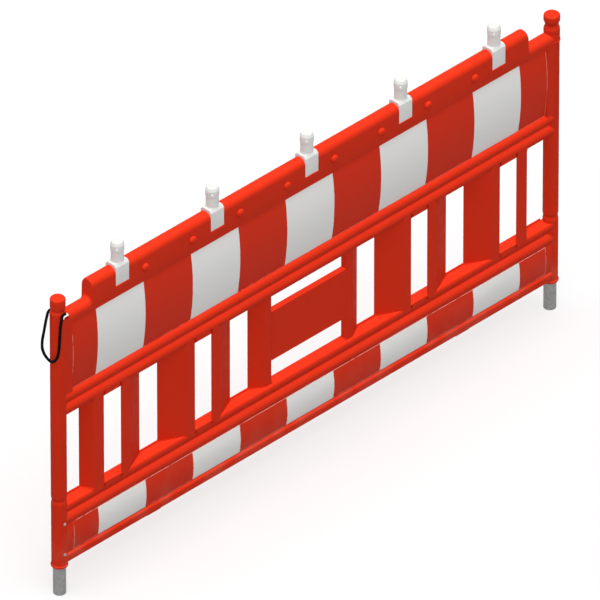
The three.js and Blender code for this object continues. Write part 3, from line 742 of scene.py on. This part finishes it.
# ---- Posts, sleeves, tubes, cap and knob ---------------------------------------------------------
POST_TOP = box_mm("left_post")[1].z
RIGHT_POST_TOP = POST_HIGH.z
LIP_Z, LIP_RADIUS = 992, 27     # the lip round the right post
WAIST_Z = POST_LOW.z - 0.2
WAIST_RADIUS = 22.2
SLEEVE_LOW = box_mm("left_foot_sleeve")[0]
RING_RADIUS = box_mm("left_foot_sleeve")[1].y
TUBE_RADIUS = box_mm("left_foot_tube")[1].y
TUBE_BORE = 17.5
TUBE_BORE_TOP = 40
TUBE_HIDDEN_TOP = SLEEVE_LOW.z + 30
TUBE_FOOT = box_mm("left_foot_tube")[0].z
CAP_TOP = box_mm("left_cap")[1].z
KNOB_TOP = box_mm("right_knob")[1].z
WAIST_HALF_HEIGHT = 12
POST_BORE_RADIUS = 16
CHAMFER_Z, CHAMFER_RADIUS = 1032, 22
CORE_RADIUS = 18                # where a turned piece ends, out of sight in its neighbour
STEM_RADIUS, STEM_LENGTH = 20, 8
SEAM = 0.3                      # between a post and its cap or knob
CAP_NECK_RADIUS, CAP_RADIUS = 21.8, 23.8
CAP_NECK_TOP = 1049
KNOB_BELL_RADIUS, KNOB_NECK_RADIUS, KNOB_HEAD_RADIUS = 25.3, 20.8, 25.6


def stem(post_top):
    """The foot of a cap or knob, which sits in its post."""
    return [(CORE_RADIUS, post_top - STEM_LENGTH, 0), (STEM_RADIUS, post_top - STEM_LENGTH, 0),
            (STEM_RADIUS, post_top + SEAM, 0)]


POST_FOOT = [(CORE_RADIUS, WAIST_Z, 0), (WAIST_RADIUS, WAIST_Z, 0.6),
             (POST_RADIUS, WAIST_Z + WAIST_HALF_HEIGHT, 6)]
LEFT_POST_PROFILE = fillet([*POST_FOOT, (POST_RADIUS, CHAMFER_Z, 2), (CHAMFER_RADIUS, POST_TOP, 0.8),
                            (POST_BORE_RADIUS, POST_TOP, 0)])
RIGHT_POST_PROFILE = fillet([*POST_FOOT, (POST_RADIUS, LIP_Z, 0.8), (LIP_RADIUS, LIP_Z + 0.2, 1),
                             (LIP_RADIUS, LIP_Z + 3, 1.5), (POST_RADIUS + 0.8, LIP_Z + 6, 3),
                             (POST_RADIUS + 0.5, RIGHT_POST_TOP, 0.3), (POST_BORE_RADIUS, RIGHT_POST_TOP, 0)])
SLEEVE_PROFILE = fillet([(TUBE_RADIUS, SLEEVE_LOW.z + 0.4, 0), (RING_RADIUS - 2, SLEEVE_LOW.z, 3),
                         (RING_RADIUS, SLEEVE_LOW.z + 4.5, 3), (RING_RADIUS, SLEEVE_LOW.z + 7.5, 1.5),
                         (POST_RADIUS, SLEEVE_LOW.z + 11, 2), (POST_RADIUS, WAIST_Z - WAIST_HALF_HEIGHT, 6),
                         (WAIST_RADIUS, WAIST_Z, 0.6), (CORE_RADIUS, WAIST_Z, 0)])
TUBE_PROFILE = fillet([(TUBE_BORE, TUBE_BORE_TOP, 0), (TUBE_BORE, TUBE_FOOT, 0.6),
                       (TUBE_RADIUS, TUBE_FOOT, 1), (TUBE_RADIUS, TUBE_HIDDEN_TOP, 0),
                       (TUBE_BORE, TUBE_HIDDEN_TOP, 0)])
CAP_PROFILE = fillet([*stem(POST_TOP), (CAP_NECK_RADIUS, POST_TOP + SEAM, 0.4),
                      (CAP_NECK_RADIUS, CAP_NECK_TOP, 1), (CAP_RADIUS, CAP_NECK_TOP + 2, 1.5),
                      (CAP_RADIUS, CAP_TOP - 1, 11), (12, CAP_TOP, 6), (2, CAP_TOP, 0)])
KNOB_PROFILE = fillet([*stem(RIGHT_POST_TOP), (KNOB_BELL_RADIUS, RIGHT_POST_TOP + SEAM, 0.3),
                       (KNOB_BELL_RADIUS, 1036, 8), (KNOB_NECK_RADIUS, 1050, 4),
                       (KNOB_NECK_RADIUS, 1053.5, 3), (KNOB_HEAD_RADIUS, 1067, 5),
                       (KNOB_HEAD_RADIUS, KNOB_TOP - 3, 6), (18, KNOB_TOP, 5), (2, KNOB_TOP, 0)])

posts = {}
for label, side, profile in (("left", -1, LEFT_POST_PROFILE), ("right", 1, RIGHT_POST_PROFILE)):
    x = side * HALF_SPAN
    posts[label] = turned_piece(f"{label}_post_tube", profile, x, f"{label}_post")
    turned_piece(f"{label}_sleeve", SLEEVE_PROFILE, x, f"{label}_foot_sleeve")
    turned_piece(f"{label}_steel_tube", TUBE_PROFILE, x, f"{label}_foot_tube", STEEL, "galvanised_steel")
turned_piece("left_cap_turned", CAP_PROFILE, -HALF_SPAN, "left_cap")
turned_piece("right_knob_turned", KNOB_PROFILE, HALF_SPAN, "right_knob")


def cutting_bar(start, end, radius, segments=40):
    """A round bar between two points."""
    start, end = Vector(start), Vector(end)
    along = (end - start).normalized()
    side = along.cross(Vector((1, 0, 0))).normalized()
    other = along.cross(side)
    steps = round_steps(segments)
    return loft([[p + (side * c + other * s) * radius for c, s in steps] for p in (start, end)])


def drill(target, *bars, sharp=35):
    """Cuts the bars out of a piece for good."""
    for shape in bars:
        bar = solid("bar", shape)
        hole = target.modifiers.new("hole", "BOOLEAN")
        hole.operation = "DIFFERENCE"
        hole.solver = "EXACT"
        hole.object = bar
        graph = bpy.context.evaluated_depsgraph_get()
        cut = bpy.data.meshes.new_from_object(target.evaluated_get(graph))
        target.modifiers.clear()
        target.data = cut
        bpy.data.objects.remove(bar)
    smooth(target.data, sharp)


EYE_MOUTH = Vector((12 - HALF_SPAN, -19, 1019))
EYE_REACH = Vector((1, 1, -1)) * 40
EYE_RADIUS = 11
CORD_HOLE_X, CORD_HOLE_Z, CORD_HOLE_RADIUS = 44 - HALF_SPAN, 1002, 10.5
DRILL_REACH = 30
eye = cutting_bar(EYE_MOUTH - EYE_REACH, EYE_MOUTH + EYE_REACH * 2, EYE_RADIUS)
drill(posts["left"], eye, sharp=30)
cord_hole = cutting_bar((CORD_HOLE_X, 0, CORD_HOLE_Z), (CORD_HOLE_X, DRILL_REACH, CORD_HOLE_Z),
                        CORD_HOLE_RADIUS)
drill(upper, eye, cord_hole)

# ---- Lamp adapters -------------------------------------------------------------------------------
ADAPTER_LOW, ADAPTER_HIGH = box_mm("lamp_adapter_3")
SADDLE_HALF_WIDTH = ADAPTER_HIGH.x
SADDLE_DEPTH = ADAPTER_HIGH.y
SADDLE_TOP = 1097
SHOULDER_Z = 1089
HEAD_TOP = ADAPTER_HIGH.z
SADDLE_INNER_RADIUS = 18.3
STUD_PROFILE = fillet([(19, SADDLE_TOP - 3, 0), (21.6, SADDLE_TOP - 0.2, 0), (20, SADDLE_TOP + 2, 2),
                       (19.8, 1134, 1.5), (21.2, 1136.5, 1), (21.2, 1157, 6),
                       (17.5, HEAD_TOP, 1.5), (8, HEAD_TOP, 0.5), (7.5, HEAD_TOP - 1.2, 0.5),
                       (2, HEAD_TOP - 1.2, 0)])
PIN_HOLE_Z = 1149
PIN_HOLE_RADIUS = 4


def saddle(x):
    inner = SADDLE_INNER_RADIUS
    crown = arc((0, RAIL_HIGH.z - HALF_DEPTH), inner, 0, 180, 24)
    half = fillet([(0, SADDLE_TOP, 0), (SADDLE_DEPTH - 8, SADDLE_TOP, 2), (SADDLE_DEPTH, SHOULDER_Z, 2),
                   (SADDLE_DEPTH, ADAPTER_LOW.z, 1.2), (inner, ADAPTER_LOW.z, 0.8),
                   (inner, ADAPTER_LOW.z + 10, 0)])
    outline = [*half, *crown, *((-y, z) for y, z in reversed(half[1:]))]
    return along_x(outline, x - SADDLE_HALF_WIDTH, x + SADDLE_HALF_WIDTH)


for i, x in enumerate(ADAPTER_XS, 1):
    body = f"lamp_adapter_{i}"
    piece(f"adapter_saddle_{i}", saddle(x), GREY, "grey_plastic", [body], body, 35, 1.2)
    stud = piece(f"adapter_stud_{i}", turned(STUD_PROFILE, x, 48), GREY, "grey_plastic", (), body, 32)
    pin_hole = cutting_bar((x - DRILL_REACH, -DRILL_REACH, PIN_HOLE_Z),
                           (x + DRILL_REACH, DRILL_REACH, PIN_HOLE_Z), PIN_HOLE_RADIUS, 24)
    drill(stud, pin_hole, sharp=32)

# ---- Dome plugs and tube screws ------------------------------------------------------------------
PLUG_Z = 1034
PLUG_PROFILE = fillet([(13.9, -0.8, 0), (14, 1.5, 1), (12.6, 6, 3), (8, 9.3, 5), (1, 10, 0)])
for i in range(1, 9):
    dome = on_face(PLUG_PROFILE, middle_x(f"dome_plug_{i}"), PLUG_Z, HALF_DEPTH, -1)
    red_piece(f"plug_{i}", dome, [f"dome_plug_{i}"])

SCREW_PROFILE = fillet([(4.9, -1.5, 0), (5, 0.8, 0.5), (3.8, 1.7, 1), (2.4, 1.9, 0.2), (2.2, 0.7, 0.2),
                        (0.3, 0.6, 0)])
for label, side in (("left", -1), ("right", 1)):
    for height in ("lower", "upper"):
        low, high = box_mm(f"{label}_tube_screw_{height}")
        screw = on_face(SCREW_PROFILE, side * HALF_SPAN, (low.z + high.z) / 2, POST_RADIUS, side, 24)
        piece(f"{label}_screw_{height}", screw, STEEL, "galvanised_steel", [f"{label}_tube_screw_{height}"])

# ---- Reflective film -----------------------------------------------------------------------------
FILM_GAP, FILM_THICKNESS = 0.3, 0.5


def film_strip(depth, low, high, side):
    heights = evenly(low.z, high.z, FIELD_ROWS)
    outline = [(side * (depth(z) + FILM_GAP + FILM_THICKNESS), z) for z in heights]
    outline += [(side * (depth(z) + FILM_GAP), z) for z in reversed(heights)]
    return along_x(outline, low.x, high.x)


for strip, depth, (low, high) in (("upper", field_depth, (UPPER_FILM_LOW, UPPER_FILM_HIGH)),
                                  ("lower", toe_depth, (LOWER_FILM_LOW, LOWER_FILM_HIGH))):
    film = printed_film(strip, low, high)
    for face, side in (("front", -1), ("back", 1)):
        sheet = film_strip(depth, low, high, side)
        piece(f"{strip}_film_sheet_{face}", sheet, film, "reflective_film", [f"{strip}_film_{face}"])

# ---- Floor and light -----------------------------------------------------------------------------
FLOOR_REACH = 60
FLOOR_BOUNCE = (0.36, 0.36, 0.36)    # what the floor throws back at the object
FLOOR_Z = -0.0005               # just under the ends of the tubes
SUN_TILT = math.radians(10)
SUN_ANGLE = math.radians(60)
KEY_STRENGTH = 1.5
FILL_STRENGTH = 3.8
WORLD_LIGHT, WORLD_SEEN = 0.2, 0.97


def make_floor():
    shader = Shader("pale_floor")
    seen = shader.mix(shader.noise(0.8, 3), (0.56, 0.56, 0.56), (0.545, 0.545, 0.545))
    tone = shader.mix(shader.node("LightPath").outputs["Is Camera Ray"], FLOOR_BOUNCE, seen)
    material = shader.finish(tone, 0.9, shader.bump(shader.noise(60, 3), 0.0002), Specular_IOR_Level=0.0)
    mesh = bpy.data.meshes.new("floor")
    corners = [(x * FLOOR_REACH, y * FLOOR_REACH, 0) for x, y in ((-1, -1), (1, -1), (1, 1), (-1, 1))]
    mesh.from_pydata(corners, [], [(0, 1, 2, 3)])
    mesh.materials.append(material)
    floor = add(bpy.data.objects.new("floor", mesh))
    floor.location.z = FLOOR_Z
    floor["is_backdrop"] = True


def overhead(name, strength, shadow):
    """A broad sun from above, tilted towards the camera's side."""
    data = bpy.data.lights.new(name, "SUN")
    data.energy = strength
    data.angle = SUN_ANGLE
    data.use_shadow = shadow
    made = add(bpy.data.objects.new(name, data))
    made.rotation_mode = "QUATERNION"
    towards = Vector((-math.sin(SUN_TILT), -math.sin(SUN_TILT), math.sqrt(2) * math.cos(SUN_TILT)))
    made.rotation_quaternion = (-towards).to_track_quat("-Z", "Y")


def make_light():
    overhead("soft_key", KEY_STRENGTH, True)
    overhead("soft_fill", FILL_STRENGTH, False)
    world = bpy.data.worlds.new("studio")
    bpy.context.scene.world = world
    world.use_nodes = True
    nodes, links = world.node_tree.nodes, world.node_tree.links
    nodes.clear()
    output = nodes.new("ShaderNodeOutputWorld")
    ray = nodes.new("ShaderNodeLightPath")
    background = nodes.new("ShaderNodeBackground")
    strength = nodes.new("ShaderNodeMapRange")
    strength.inputs["To Min"].default_value = WORLD_LIGHT
    strength.inputs["To Max"].default_value = WORLD_SEEN
    links.new(ray.outputs["Is Camera Ray"], strength.inputs["Value"])
    links.new(strength.outputs["Result"], background.inputs["Strength"])
    background.inputs["Color"].default_value = (1, 1, 1, 1)
    links.new(background.outputs[0], output.inputs["Surface"])
    bpy.context.scene.view_settings.view_transform = "Standard"


make_floor()
make_light()

# ---- Bounds of the visual model ------------------------------------------------------------------
low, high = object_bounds()
